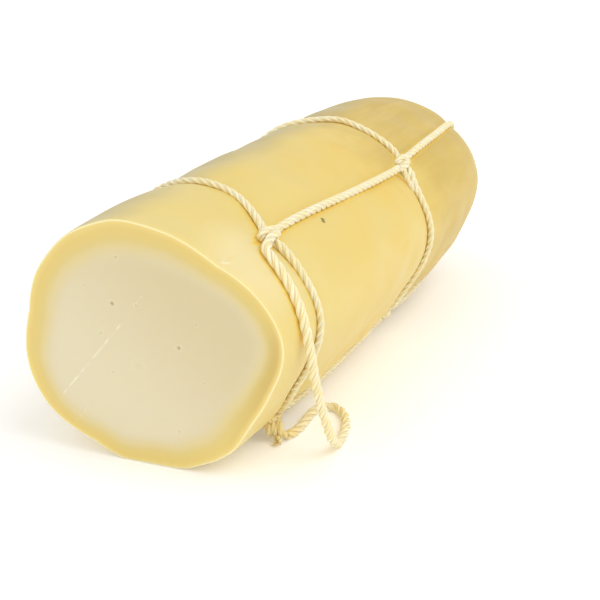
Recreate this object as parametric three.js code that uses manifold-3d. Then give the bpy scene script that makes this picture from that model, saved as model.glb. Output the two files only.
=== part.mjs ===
// A log of provolone cheese, cut square-ish at one end and tied in a net of twisted cord.
// Millimetres. +Z is up, the log lies along +Y and its cut face looks towards -Y.
// The shape is worked out in the log's own frame, with y = 0 at the middle of the cut face
// and z = 0 at the surface it lies on, and the group then moves it over the origin.
import * as THREE from 'three';
import { mergeVertices } from 'three/addons/utils/BufferGeometryUtils.js';
import Module from 'manifold-3d';

// ---- the cheese ----
const LENGTH = 332;            // cut face to the tip of the rounded end
const END_LENGTH = 60;         // how much of that is the rounded end
const END_POWER = 2.5;         // 2 is an ellipsoid, more is blunter
const MEAN_RADIUS = 60.3;
const AXIS_HEIGHT = 60.4;      // the belly is pressed flat this far below the axis
const BELLY_SAG = 2.2;         // how far the belly sags out of round
const EVENING = 0.5;           // how far the section has evened out at the rounded end
const BOW = -2.8;              // sideways bow of the rounded end
const CUT_LEAN = { x: 0.111, z: -0.075 };  // the knife's slant, mm along the log for each mm
const RING_PINCH = 1.2;        // the cheese is drawn in at each ring
const RING_PINCH_REACH = 14;

// Swellings and hollows: angle and y of the middle, height, reach in degrees and in y.
const SWELLS = [
  [120, 16, 1.1, 18, 22], [165, 0, 0.6, 20, 20], [202, 0, 0.9, 26, 20], [229, 0, 0.9, 11, 12],
  [293, 0, -1.5, 24, 9], [118, 88, -0.5, 16, 12], [114, 242, -0.9, 16, 16], [4, 276, 1.4, 16, 22],
  [118, 60, -0.7, 14, 10], [115, 178, 1.9, 16, 17],
];

// The section at the cut: angle about the axis (0 is +X, 90 is up), radius.
const SECTION = [
  [14, 63.7], [56, 57], [105, 60.8], [145, 60.2], [170, 59.6], [212, 66.4],
  [237, 61.6], [262, 60.9], [292, 58.8], [306, 57.9], [326, 55], [344, 57],
];
// The girth along the log: distance from the cut, share of the radius at the cut.
const GIRTH = [[0, 1], [92, 1.018], [185, 0.983], [250, 0.961], [312, 0.775], [332, 0.72]];

// ---- the cord ----
const CORD = 3.7;              // diameter
const CORD_PRESS = 1.3;        // how deep it bites into the cheese
const GAP = 0.65;              // between the cord and the cheese
const END_GAP = 1.1;           // between the end of a cord and its hitch
const CORD_SIDES = 8;
const HITCH_SIDES = 6;
const CORD_STEP = 2.7 * CORD;  // length of one step of a tube
const GROOVE_SLOPE = 0.36;     // the groove's flanks
const GROOVE_AHEAD = 0.45;     // share of the groove left where the front cords are gone
const STUB_ROOM = 10;          // from the front ring to where that share begins
const LOWEST = CORD / 2 + 0.1; // of a cord's middle over the table
const BEND = 1.3;              // how softly a cord bends onto the table

// Where each ring runs: angle about the axis, distance from the cut.
const FRONT_RING = [
  [42, 43.3], [51, 44.7], [58.5, 47.5], [66.5, 51.4], [74, 54.5], [82, 56.2], [92, 57],
  [104, 57.8], [115, 60.5], [126, 62], [145, 61], [170, 58], [238, 53], [303, 54.5], [325, 51],
  [345, 46.5], [366, 42.2], [384, 41.1], [394, 42.2],
];
const REAR_RING = [
  [45, 191.2], [52, 194.6], [61, 195.7], [77, 196], [92, 196.5], [103, 190], [115, 180],
  [128, 174], [155, 172], [185, 176], [238, 187], [303, 190], [350, 190], [365, 186],
  [374, 183], [384, 182], [394, 184.2], [400, 188],
];
// Where each lengthwise cord runs: distance from the cut, angle about the axis.
const LENGTHWISE = [
  [[0, 52], [44.5, 51.4], [62, 50.8], [80, 49.7], [100, 48.1], [120, 46.4], [139, 45.2],
    [158, 44.2], [174, 43.9], [184, 44.6], [191, 45.4], [200, 46.2], [218, 47], [247, 47.9],
    [278, 49.5], [332, 50]],
  [[0, 170], [52, 170], [120, 172], [192, 171], [332, 164]],
  [[0, 238.5], [51, 238.5], [120, 237], [191, 238], [332, 230]],
  [[0, 304], [50, 303], [120, 305], [190, 304], [332, 300]],
];

// ---- hitches, knot and loose cord ----
const HITCH_REACH = 6;         // from a hitch's middle to where the plain cord begins
const HITCH_TURN = 2;          // the two turns of a hitch lie this far either side of its middle
const HITCH_RISE = 3.5;        // and this far over the ring's cord
// One turn over the ring's cord: mm along the log, share of the rise.
const TURN_ARCH = [[-3.4, 0.26], [-2.2, 0.72], [0, 1], [2.2, 0.72], [3.4, 0.26]];
// The lengthwise cord's way into a turn: mm along the ring, mm along the log, share of the rise.
const HITCH_ARM = [[0, HITCH_REACH, 0], [-0.7, 4.5, 0.14], [-HITCH_TURN, 2.4, 0.6]];
// The tip's crossing, likewise: the second cord's bridge over the first, and the turn round both.
const TIP_BRIDGE = [[-0.6, 1.2, 0.9], [0.6, -1.2, 0.9]];
const TIP_TURN = [[3.2, -2.6, 0.23], [0.4, -2.4, 1.15], [-0.4, 2.4, 1.15], [-3.2, 2.6, 0.23]];
const THROUGH = [0, -HITCH_REACH, 0];   // where the lengthwise cord leaves a hitch, as above
// In front of the front ring the lengthwise cords are gone. The first leaves its hitch as the
// loose cord, the next two are cut off short and the last is tied off behind its hitch.
const FRONT_ENDS = [[-4, -6.9, 0.5], THROUGH, THROUGH];
const KNOT_RADIUS = 3.3;       // of the two loops that make the knot
const KNOT = { x: 37.6, y: 45, z: 8.6 };
const KNOT_TIP = { x: 38.4, y: 41, z: 2.2 };
const KNOT_TILTS = [{ x: 70, z: 25 }, { x: -20, z: 80 }];  // how each loop is turned
const KNOT_STEPS = 10;         // segments of a loop
const LOOSE_LIFT = 2.3;        // height of the loose cord's middle where it lies on the cheese
const LOOSE_STEPS = 30;

// The loose cord: first over the cheese (angle, distance from the cut) ...
const LOOSE_ON_CHEESE = [
  [45.3, 30], [40.3, 27.6], [35.3, 26], [28, 24.3], [20, 22.8], [12, 22.6],
];
// ... then down the side, round on the table and back to its knot.
const LOOSE_DOWN = [
  [66.2, 24, 63], [66.6, 27.3, 50], [66.8, 32.3, 36], [66.9, 39, 22], [66.6, 46.5, 9.5],
  [65.6, 55, 3.2], [63.6, 65.5, 2], [60.2, 76, 2], [54.6, 84.8, 2], [47.4, 89.3, 2],
  [41.4, 85.6, 2], [40.4, 78, 2], [41.4, 69, 2], [41.8, 62, 2], [41.2, 56, 2.1], [40.3, 51.6, 3],
];

// ---- how finely the cheese is divided ----
const GROOVE_OFFSETS = [-9, -4.5, 0, 4.5, 9];  // mm either side of a cord
const COLUMN_STEP = 6;         // degrees between grooves
const ROWS_AHEAD = 4;          // rows from the cut to the front ring
const ROWS_BETWEEN = 10;       // rows between the rings
const ROWS_BEHIND = 6;         // rows from the rear ring to the rounded end
const ROWS_END = 9;            // rows of the rounded end

const COLOURS = {
  cheese: { color: 0xe8d28a, roughness: 0.5, metalness: 0 },
  cord: { color: 0xf6ecc9, roughness: 0.9, metalness: 0 },
};

const wasm = await Module();
wasm.setup();

// ---- small helpers ----
const radians = THREE.MathUtils.degToRad;
const along = (a, b, t) => a + (b - a) * t;

// Cubic curve through knots [x, value]; with a period it closes on itself.
function curveThrough(knots, period) {
  const wrapped = period
    ? [-1, 0, 1].flatMap((turn) => knots.map(([x, v]) => [x + turn * period, v]))
    : knots;
  const last = wrapped.length - 1;
  const slope = (i) => {
    const a = wrapped[Math.max(i - 1, 0)];
    const b = wrapped[Math.min(i + 1, last)];
    return (b[1] - a[1]) / (b[0] - a[0]);
  };
  return (x) => {
    const low = knots[0][0];
    const at = period
      ? low + ((((x - low) % period) + period) % period)
      : THREE.MathUtils.clamp(x, low, wrapped[last][0]);
    let i = 0;
    while (i < last - 1 && wrapped[i + 1][0] <= at) i += 1;
    const [x0, v0] = wrapped[i];
    const [x1, v1] = wrapped[i + 1];
    const h = x1 - x0;
    const t = (at - x0) / h;
    const t2 = t * t;
    const t3 = t2 * t;
    return (2 * t3 - 3 * t2 + 1) * v0 + (t3 - 2 * t2 + t) * h * slope(i)
      + (3 * t2 - 2 * t3) * v1 + (t3 - t2) * h * slope(i + 1);
  };
}

const sectionRadius = curveThrough(SECTION, 360);
const girth = curveThrough(GIRTH);
const frontRing = curveThrough(FRONT_RING, 360);
const rearRing = curveThrough(REAR_RING, 360);
const rings = [frontRing, rearRing];
const cordAngles = LENGTHWISE.map((knots) => curveThrough(knots));

const END_START = LENGTH - END_LENGTH;

// A station s runs along the log in mm; over the rounded end it runs round the curve.
function station(s) {
  if (s <= END_START) return { y: s, share: 1 };
  const turn = Math.min((s - END_START) / END_LENGTH, 1) * Math.PI / 2;
  const bend = 2 / END_POWER;
  return {
    y: END_START + END_LENGTH * Math.sin(turn) ** bend,
    share: Math.max(Math.cos(turn), 0) ** bend,
  };
}

// How much the swellings add to the radius.
function swelling(angle, y) {
  return SWELLS.reduce((sum, [middle, at, height, angleReach, reach]) => {
    const turned = ((((angle - middle + 540) % 360) + 360) % 360 - 180) / angleReach;
    return sum + height * Math.exp(-(turned ** 2) - ((y - at) / reach) ** 2);
  }, 0);
}

// The bare cheese, without grooves: the point at an angle and a station.
function skin(angle, s) {
  const { y, share } = station(s);
  const t = THREE.MathUtils.smoothstep(y, 40, LENGTH);
  const even = along(sectionRadius(angle), MEAN_RADIUS, EVENING * t);
  const pinch = rings.reduce(
    (sum, ring) => sum + Math.exp(-(((y - ring(angle)) / RING_PINCH_REACH) ** 2)), 0);
  const down = -Math.sin(radians(angle));
  const sag = BELLY_SAG * Math.max(down, 0) ** 4;
  const radius = (even * girth(y) + sag - RING_PINCH * pinch) * share;
  const pressed = (down > 0 ? Math.min(radius, AXIS_HEIGHT / down) : radius) + swelling(angle, y);
  return new THREE.Vector3(
    BOW * (y / LENGTH) ** 2 + pressed * Math.cos(radians(angle)),
    y,
    AXIS_HEIGHT + pressed * Math.sin(radians(angle)),
  );
}

// The outward direction there.
function outward(angle, s) {
  if (s >= LENGTH - 0.5) return new THREE.Vector3(0, 1, 0);
  const across = skin(angle + 1, s).sub(skin(angle - 1, s));
  const lengthwise = skin(angle, Math.min(s + 1, LENGTH)).sub(skin(angle, s - 1));
  return lengthwise.cross(across).normalize();
}

// A point above the skin, kept clear of the table.
function above(angle, s, height) {
  const at = skin(angle, s).addScaledVector(outward(angle, s), height);
  const over = (at.z - LOWEST) / 2;
  at.z = LOWEST + over + Math.hypot(over, BEND);
  return at;
}

const CORD_HEIGHT = CORD / 2 - CORD_PRESS;     // of the cord's middle over the bare skin

// How deep the groove of a cord is at its middle, for the cord to lie in it.
function fullDepth(angle, s) {
  const lifted = above(angle, s, CORD_HEIGHT).sub(skin(angle, s)).dot(outward(angle, s));
  return CORD / 2 + GAP - lifted;
}

function grooveDepth(angle, s) {
  const { y } = station(s);
  const radius = Math.hypot(skin(angle, s).x, skin(angle, s).z - AXIS_HEIGHT);
  let depth = 0;
  for (const ring of rings) {
    const steep = (ring(angle + 2) - ring(angle - 2)) / (radians(4) * MEAN_RADIUS);
    const away = Math.abs(y - ring(angle)) / Math.hypot(1, steep);
    if (away < 4 * CORD) depth = Math.max(depth, fullDepth(angle, s) - GROOVE_SLOPE * away);
  }
  for (const cordAngle of cordAngles) {
    const turn = ((angle - cordAngle(y) + 540) % 360) - 180;
    const away = Math.abs(radians(turn)) * radius;
    const deepest = fullDepth(angle, s) * (y < frontRing(angle) - STUB_ROOM ? GROOVE_AHEAD : 1);
    if (away < 4 * CORD) depth = Math.max(depth, deepest - GROOVE_SLOPE * away);
  }
  return depth;
}

// ---- the cheese's mesh ----
// Columns follow the lengthwise cords, with extra ones at the grooves.
function columnAngles(y) {
  const angles = [];
  cordAngles.forEach((cordAngle, i) => {
    const here = cordAngle(y);
    const next = i + 1 < cordAngles.length ? cordAngles[i + 1](y) : cordAngles[0](y) + 360;
    const reach = THREE.MathUtils.radToDeg(GROOVE_OFFSETS.at(-1) / MEAN_RADIUS);
    GROOVE_OFFSETS.forEach((off) => {
      angles.push(here + THREE.MathUtils.radToDeg(off / MEAN_RADIUS));
    });
    const spans = GAP_COLUMNS[i];
    for (let k = 1; k < spans; k += 1) {
      angles.push(along(here + reach, next - reach, k / spans));
    }
  });
  return angles;
}
const GAP_COLUMNS = cordAngles.map((cordAngle, i) => {
  const next = i + 1 < cordAngles.length ? cordAngles[i + 1](0) : cordAngles[0](0) + 360;
  return Math.round((next - cordAngle(0) - 18) / COLUMN_STEP);
});

// Rows run from the cut to the rounded end and follow both rings.
function rowStations(angle) {
  const point = skin(angle, 0);
  const cut = CUT_LEAN.x * point.x + CUT_LEAN.z * (point.z - AXIS_HEIGHT);
  const reach = GROOVE_OFFSETS.at(-1);
  const front = frontRing(angle);
  const rear = rearRing(angle);
  const rows = [];
  const spread = (from, to, count) => {
    for (let k = 0; k < count; k += 1) rows.push(along(from, to, k / count));
  };
  spread(cut, front - reach, ROWS_AHEAD);
  GROOVE_OFFSETS.forEach((off) => rows.push(front + off));
  rows.pop();
  spread(front + reach, rear - reach, ROWS_BETWEEN);
  GROOVE_OFFSETS.forEach((off) => rows.push(rear + off));
  rows.pop();
  spread(rear + reach, END_START, ROWS_BEHIND);
  spread(END_START, LENGTH, ROWS_END);
  return rows;
}

function cheeseGeometry() {
  const count = columnAngles(0).length;
  const rowCount = rowStations(0).length;
  const positions = [];
  for (let row = 0; row < rowCount; row += 1) {
    for (let col = 0; col < count; col += 1) {
      const rough = columnAngles(0)[col];
      const s = rowStations(rough)[row];
      const angle = columnAngles(station(s).y)[col];
      const exact = rowStations(angle)[row];
      const at = skin(angle, exact).addScaledVector(outward(angle, exact), -grooveDepth(angle, exact));
      if (row === 0) at.y = CUT_LEAN.x * at.x + CUT_LEAN.z * (at.z - AXIS_HEIGHT);
      positions.push(at.x, at.y, at.z);
    }
  }
  const cutMiddle = positions.length / 3;
  positions.push(0, 0, AXIS_HEIGHT);
  const tip = cutMiddle + 1;
  positions.push(BOW, LENGTH - fullDepth(0, LENGTH), AXIS_HEIGHT);
  const index = [];
  for (let col = 0; col < count; col += 1) {
    const next = (col + 1) % count;
    index.push(cutMiddle, col, next);
    for (let row = 0; row + 1 < rowCount; row += 1) {
      const a = row * count + col;
      const b = row * count + next;
      index.push(a, a + count, b, b, a + count, b + count);
    }
    const lastRow = (rowCount - 1) * count;
    index.push(lastRow + col, tip, lastRow + next);
  }
  const geometry = new THREE.BufferGeometry();
  geometry.setAttribute('position', new THREE.Float32BufferAttribute(positions, 3));
  geometry.setIndex(index);
  return geometry;
}

// ---- cords ----
function tube(points, steps, sides = CORD_SIDES) {
  const path = new THREE.CatmullRomCurve3(points, false, 'centripetal');
  const count = steps ?? Math.max(2, Math.round(path.getLength() / CORD_STEP));
  const corners = Array.from({ length: sides }, (_, i) => {
    const turn = (i + 0.5) * 2 * Math.PI / sides;
    return new THREE.Vector2(Math.cos(turn), Math.sin(turn)).multiplyScalar(CORD / 2);
  });
  return new THREE.ExtrudeGeometry(new THREE.Shape(corners), {
    steps: count, extrudePath: path, bevelEnabled: false,
  });
}

const DEGREES_PER_MM = THREE.MathUtils.radToDeg(1 / MEAN_RADIUS);
const CORD_END = HITCH_REACH + END_GAP;            // where a plain cord ends, from a hitch's middle

// Points along a line of the surface from one parameter to another.
function line(from, to, step, place) {
  const count = Math.max(2, Math.round(Math.abs(to - from) / step));
  return Array.from({ length: count + 1 }, (_, i) => place(along(from, to, i / count)));
}

// Where a lengthwise cord crosses a ring.
function crossingY(ring, i) {
  let y = ring(cordAngles[i](0));
  for (let k = 0; k < 4; k += 1) y = ring(cordAngles[i](y));
  return y;
}

// One arc of a ring, from a hitch to the next one round.
function ringArc(ring, i) {
  const next = (i + 1) % cordAngles.length;
  const reach = CORD_END * DEGREES_PER_MM;
  const from = cordAngles[i](crossingY(ring, i)) + reach;
  const to = cordAngles[next](crossingY(ring, next)) + (next === 0 ? 360 : 0) - reach;
  return tube(line(from, to, 5, (angle) => above(angle, ring(angle), CORD_HEIGHT)));
}

// A lengthwise cord between the rings.
function sideCord(i) {
  const from = crossingY(frontRing, i) + CORD_END;
  const to = crossingY(rearRing, i) - CORD_END;
  return tube(line(from, to, 8, (s) => above(cordAngles[i](s), s, CORD_HEIGHT)));
}

// And over the rounded end, up to the crossing at its tip.
function endCord(i) {
  const from = crossingY(rearRing, i) + CORD_END;
  const to = stationNearTip(i, CORD_END);
  return tube(line(from, to, 4, (s) => above(cordAngles[i](station(s).y), s, CORD_HEIGHT)));
}

// The station on a lengthwise cord that is a given distance from the tip's axis.
function stationNearTip(i, distance) {
  let s = LENGTH - 1;
  const axisDistance = () => {
    const at = above(cordAngles[i](station(s).y), s, CORD_HEIGHT);
    return Math.hypot(at.x - BOW, at.z - AXIS_HEIGHT);
  };
  while (axisDistance() < distance) s -= 0.25;
  return s;
}

function toSolid(geometry) {
  const bare = geometry.clone();
  bare.deleteAttribute('normal');
  bare.deleteAttribute('uv');
  const merged = mergeVertices(bare, 1e-3);
  return new wasm.Manifold(new wasm.Mesh({
    numProp: 3,
    vertProperties: new Float32Array(merged.attributes.position.array),
    triVerts: new Uint32Array(merged.index.array),
  }));
}

// Joins several closed geometries into one.
function fused(geometries) {
  const joined = geometries.map(toSolid).reduce((sum, solid) => sum.add(solid)).getMesh();
  const geometry = new THREE.BufferGeometry();
  geometry.setAttribute('position', new THREE.Float32BufferAttribute(joined.vertProperties, 3));
  geometry.setIndex([...joined.triVerts]);
  return geometry;
}

// A hitch: the ring's cord goes straight through, and the lengthwise cord turns twice over it.
// place(u, v, w): u mm along the ring, v mm along the log, w mm outwards.
function hitchGeometry(place, end) {
  const straight = [[-HITCH_REACH, 0, 0], [0, 0, 0], [HITCH_REACH, 0, 0]];
  const turn = (u) => TURN_ARCH.map(([v, rise]) => [u, v, rise]);
  const arm = (side) => HITCH_ARM.map(([u, v, rise]) => [side * u, side * v, rise]);
  const runs = [straight, turn(-HITCH_TURN), turn(HITCH_TURN), arm(1)];
  if (end) runs.push([end, ...arm(-1).slice(1)]);
  return fused(runs.map((run) => bridge(run, place)));
}

// A short tube through points [u, v, share of the rise] of a hitch's frame.
function bridge(run, place) {
  const points = run.map(([u, v, rise]) => place(u, v, rise * HITCH_RISE));
  return tube(points, run.length, HITCH_SIDES);
}

// A hitch's own frame on the surface, at the crossing of a ring and a lengthwise cord.
function crossing(ring, i) {
  const cordAngle = cordAngles[i];
  const y0 = crossingY(ring, i);
  return (u, v, w) => {
    const angle = cordAngle(y0 + v) + u * DEGREES_PER_MM;
    const follow = ring(angle) - ring(cordAngle(y0));
    return above(angle, y0 + v + follow, CORD_HEIGHT + w);
  };
}

// The crossing at the tip of the rounded end, where the cords meet.
function tipPlace(u, v, w) {
  const turn = radians(cordAngles[0](LENGTH));
  const height = CORD_HEIGHT + w;
  return new THREE.Vector3(
    BOW + u * Math.cos(turn) - v * Math.sin(turn),
    LENGTH + height,
    AXIS_HEIGHT + u * Math.sin(turn) + v * Math.cos(turn),
  );
}

// The tip's hitch: one cord straight across, the other over it, and a turn round both.
function tipHitchGeometry() {
  const ends = cordAngles.map((cordAngle, i) => {
    const s = stationNearTip(i, HITCH_REACH);
    return above(cordAngle(station(s).y), s, CORD_HEIGHT);
  });
  const over = TIP_BRIDGE.map(([u, v, rise]) => tipPlace(u, v, rise * HITCH_RISE));
  return fused([
    tube([ends[0], tipPlace(0, 0, 0), ends[2]], 4, HITCH_SIDES),
    tube([ends[1], ...over, ends[3]], 6, HITCH_SIDES),
    bridge(TIP_TURN, tipPlace),
  ]);
}

// ---- the loose cord and its knot ----
function loosePoints() {
  const [u, v, rise] = FRONT_ENDS[0];
  return [
    crossing(frontRing, 0)(u, v - END_GAP, rise * HITCH_RISE),
    ...LOOSE_ON_CHEESE.map(([angle, y]) => above(angle, y, LOOSE_LIFT)),
    ...LOOSE_DOWN.map(([x, y, z]) => new THREE.Vector3(x, y, z)),
  ];
}

// Two loops through each other, the cord coming in and the short end going out.
function knotGeometry(cordEnd) {
  const middle = new THREE.Vector3(KNOT.x, KNOT.y, KNOT.z);
  const toward = middle.clone().sub(cordEnd).normalize();
  const start = cordEnd.clone().addScaledVector(toward, END_GAP);
  const tip = new THREE.Vector3(KNOT_TIP.x, KNOT_TIP.y, KNOT_TIP.z);
  return fused([
    ...KNOT_TILTS.map((tilt) => knotLoop(tilt).translate(middle.x, middle.y, middle.z)),
    tube([start, middle], 2, HITCH_SIDES),
    tube([middle, middle.clone().lerp(tip, 0.6), tip], 3, HITCH_SIDES),
  ]);
}

function knotLoop(tilt) {
  const section = Array.from({ length: HITCH_SIDES + 1 }, (_, i) => {
    const turn = i * 2 * Math.PI / HITCH_SIDES;
    return new THREE.Vector2(KNOT_RADIUS + Math.cos(turn) * CORD / 2, Math.sin(turn) * CORD / 2);
  });
  return new THREE.LatheGeometry(section, KNOT_STEPS)
    .rotateX(radians(tilt.x))
    .rotateZ(radians(tilt.z));
}

// ---- the whole ----
function piece(name, geometry, look) {
  const made = new THREE.Mesh(geometry, new THREE.MeshStandardMaterial(look));
  made.name = name;
  return made;
}

const log = new THREE.Group();
log.add(piece('cheese', cheeseGeometry(), COLOURS.cheese));
cordAngles.forEach((_, i) => {
  const number = i + 1;
  log.add(
    piece(`front_ring_${number}`, ringArc(frontRing, i), COLOURS.cord),
    piece(`rear_ring_${number}`, ringArc(rearRing, i), COLOURS.cord),
    piece(`side_cord_${number}`, sideCord(i), COLOURS.cord),
    piece(`end_cord_${number}`, endCord(i), COLOURS.cord),
    piece(
      `front_hitch_${number}`,
      hitchGeometry(crossing(frontRing, i), FRONT_ENDS[i]),
      COLOURS.cord,
    ),
    piece(
      `rear_hitch_${number}`,
      hitchGeometry(crossing(rearRing, i), THROUGH),
      COLOURS.cord,
    ),
  );
});
log.add(piece('tip_hitch', tipHitchGeometry(), COLOURS.cord));

// The origin is on the table, under the middle of the tied log.
const bounds = new THREE.Box3().setFromObject(log);
const middle = bounds.getCenter(new THREE.Vector3());

const route = loosePoints();
log.add(
  piece('loose_cord', tube(route, LOOSE_STEPS), COLOURS.cord),
  piece('loose_knot', knotGeometry(route.at(-1)), COLOURS.cord),
);
log.position.set(-middle.x, -middle.y, 0);

const provolone = new THREE.Group();
provolone.add(log);

export default provolone;
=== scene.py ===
"""A cut log of provolone cheese in its cord binding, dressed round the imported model.

Lengths are in metres and angles in degrees. The shape is worked out in the log's own frame, with
y = 0 at the middle of the cut face and z = 0 on the table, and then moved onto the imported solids.
"""
import math

import bpy
import numpy as np
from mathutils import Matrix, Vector
from mathutils.geometry import delaunay_2d_cdt


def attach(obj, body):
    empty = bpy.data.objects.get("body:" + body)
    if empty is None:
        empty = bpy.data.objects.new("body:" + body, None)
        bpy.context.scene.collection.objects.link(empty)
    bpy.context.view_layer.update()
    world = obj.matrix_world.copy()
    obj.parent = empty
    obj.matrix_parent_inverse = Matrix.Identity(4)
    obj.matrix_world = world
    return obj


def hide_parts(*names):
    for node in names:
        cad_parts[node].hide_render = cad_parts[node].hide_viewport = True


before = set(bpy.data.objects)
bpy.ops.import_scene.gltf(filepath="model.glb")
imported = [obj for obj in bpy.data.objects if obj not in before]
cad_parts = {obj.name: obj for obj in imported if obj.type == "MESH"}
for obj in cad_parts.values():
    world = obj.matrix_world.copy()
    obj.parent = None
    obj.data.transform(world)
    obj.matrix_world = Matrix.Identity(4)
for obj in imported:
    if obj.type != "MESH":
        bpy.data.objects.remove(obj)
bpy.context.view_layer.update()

# ---- the cheese ----
LENGTH = 0.332  # from the cut to the tip
END_LENGTH = 0.060  # of the rounded end
END_POWER = 2.5  # how square its curve is
MEAN_RADIUS = 0.0603
AXIS_HEIGHT = 0.0604
BELLY_SAG = 0.0022  # how much fuller the underside is
EVENING = 0.5  # how far the section evens out towards the tip ...
EVENING_START = 0.04  # ... beyond this y
BOW = -0.0028  # how far the tip is to one side
CUT_LEAN = (0.111, -0.075)  # of the cut face, along x and along z
RING_PINCH = 0.0014  # how far a ring pulls the log in ...
RING_PINCH_REACH = 0.014  # ... over about this distance
# Radius of the section, by angle.
SECTION = [
    (14, 0.0637), (56, 0.057), (105, 0.0608), (145, 0.0602), (170, 0.0596), (212, 0.0664),
    (237, 0.0616), (262, 0.0609), (292, 0.0588), (306, 0.0579), (326, 0.055), (344, 0.057),
]
# Share of that radius, by y.
GIRTH = [(0, 1), (0.092, 1.018), (0.185, 0.983), (0.250, 0.961), (0.312, 0.775), (0.332, 0.72)]
# Swellings and hollows: angle and y of the middle, height, reach in degrees and in y.
SWELLS = [
    (120, 0.016, 0.0011, 18, 0.022), (165, 0, 0.0006, 20, 0.020), (202, 0, 0.0009, 26, 0.020),
    (229, 0, 0.0009, 11, 0.012), (293, 0, -0.0015, 24, 0.009), (118, 0.088, -0.0005, 16, 0.012),
    (114, 0.242, -0.0009, 16, 0.016), (4, 0.276, 0.0014, 16, 0.022), (118, 0.060, -0.0007, 14, 0.010),
    (115, 0.178, 0.0019, 16, 0.017),
]
EDGE_RADIUS = 0.0006  # of the edge round the cut face
SETTLED = 0.0022  # how softly the round side goes over into the flat one on the table
# Torn bits of rind behind the cut's edge: angle, y, height and reach in metres.
CRUMPLES = [
    (51.6, 0.0046, 0.0004, 0.0011), (50.2, 0.0062, 0.0003, 0.0009), (52.6, 0.0072, -0.0003, 0.0010),
]

# ---- the cord ----
CORD = 0.0037
CORD_PRESS = 0.0013  # how deep it bites into the cheese
LAY = 0.0145  # length of one full twist ...
LOOSE_LAY = 0.019  # ... and where the cord is loose
LOWEST = CORD / 2 + 0.0001  # of a cord's middle over the table
BEND = 0.0013  # how softly a cord bends onto the table
# The rings: y by angle.
FRONT_RING = [
    (42, 0.0433), (51, 0.0447), (58.5, 0.0475), (66.5, 0.0514), (74, 0.0545), (82, 0.0562),
    (92, 0.057), (104, 0.0578), (115, 0.0605), (126, 0.062), (145, 0.061), (170, 0.058),
    (238, 0.053), (303, 0.0545), (325, 0.051), (345, 0.0465), (366, 0.0422), (384, 0.0411),
    (394, 0.0422),
]
REAR_RING = [
    (45, 0.1912), (52, 0.1946), (61, 0.1957), (77, 0.196), (92, 0.1965), (103, 0.190),
    (115, 0.180), (128, 0.174), (155, 0.172), (185, 0.176), (238, 0.187), (303, 0.190),
    (350, 0.190), (365, 0.186), (374, 0.183), (384, 0.182), (394, 0.1842), (400, 0.188),
]
# The lengthwise cords: angle by y. The photo shows the first.
LENGTHWISE = [
    [(0, 52), (0.0445, 51.4), (0.062, 50.8), (0.080, 49.7), (0.100, 48.1), (0.120, 46.4),
     (0.139, 45.2), (0.158, 44.2), (0.174, 43.6), (0.184, 44.2), (0.191, 45.4), (0.200, 46.2),
     (0.218, 47.0), (0.247, 47.9), (0.278, 49.5), (0.332, 50)],
    [(0, 170), (0.052, 170), (0.120, 172), (0.192, 171), (0.332, 164)],
    [(0, 238.5), (0.051, 238.5), (0.120, 237), (0.191, 238), (0.332, 230)],
    [(0, 304), (0.050, 303), (0.120, 305), (0.190, 304), (0.332, 300)],
]
# The loose cord: first over the cheese (angle, distance from the cut) ...
LOOSE_ON_CHEESE = [
    (45.3, 0.0300), (40.3, 0.0276), (35.3, 0.0260), (28, 0.0243), (20, 0.0228), (12, 0.0226),
]
LOOSE_LIFT = 0.0023
# ... then down the side, round on the table and back to its knot.
LOOSE_DOWN = [
    (0.0662, 0.0240, 0.063), (0.0666, 0.0273, 0.050), (0.0668, 0.0323, 0.036),
    (0.0669, 0.039, 0.022), (0.0666, 0.0465, 0.0095), (0.0656, 0.055, 0.0032),
    (0.0636, 0.0655, 0.002), (0.0602, 0.076, 0.002), (0.0546, 0.0848, 0.002),
    (0.0474, 0.0893, 0.002), (0.0414, 0.0856, 0.002), (0.0404, 0.078, 0.002),
    (0.0414, 0.069, 0.002), (0.0418, 0.062, 0.002), (0.0412, 0.056, 0.0021),
    (0.0403, 0.0516, 0.003),
]


# ---- the log's surface ----
def curve_through(knots, period=None):
    """Cubic curve through (x, value) knots, for arrays of x; with a period it closes on itself."""
    x = np.array([k[0] for k in knots], float)
    value = np.array([k[1] for k in knots], float)
    low = x[0]
    if period:
        x = np.concatenate([x - period, x, x + period])
        value = np.tile(value, 3)
    slope = np.empty_like(value)
    slope[1:-1] = (value[2:] - value[:-2]) / (x[2:] - x[:-2])
    slope[0] = (value[1] - value[0]) / (x[1] - x[0])
    slope[-1] = (value[-1] - value[-2]) / (x[-1] - x[-2])

    def at(q):
        q = np.asarray(q, float)
        q = low + (q - low) % period if period else np.clip(q, x[0], x[-1])
        i = np.clip(np.searchsorted(x, q, side="right") - 1, 0, len(x) - 2)
        h = x[i + 1] - x[i]
        t = (q - x[i]) / h
        return (
            (2 * t**3 - 3 * t**2 + 1) * value[i]
            + (t**3 - 2 * t**2 + t) * h * slope[i]
            + (3 * t**2 - 2 * t**3) * value[i + 1]
            + (t**3 - t**2) * h * slope[i + 1]
        )

    return at


def bell(x, reach):
    """1 in the middle, falling off over about the reach."""
    return np.exp(-((x / reach) ** 2))


def turned(angle, middle):
    """How far an angle is from another, from -180 to 180."""
    return (angle - middle + 540) % 360 - 180


def least(a, b, softness):
    """The smaller of the two, with the change from one to the other made soft."""
    share = np.clip(0.5 + (b - a) / (2 * softness), 0, 1)
    return b + (a - b) * share - softness * share * (1 - share) / 2


def swelling(angle, y):
    """How much the swellings add to the radius."""
    total = 0
    for middle, at, height, angle_reach, reach in SWELLS:
        across = turned(angle, middle) / angle_reach
        total = total + height * np.exp(-(across**2) - ((y - at) / reach) ** 2)
    return total


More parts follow.
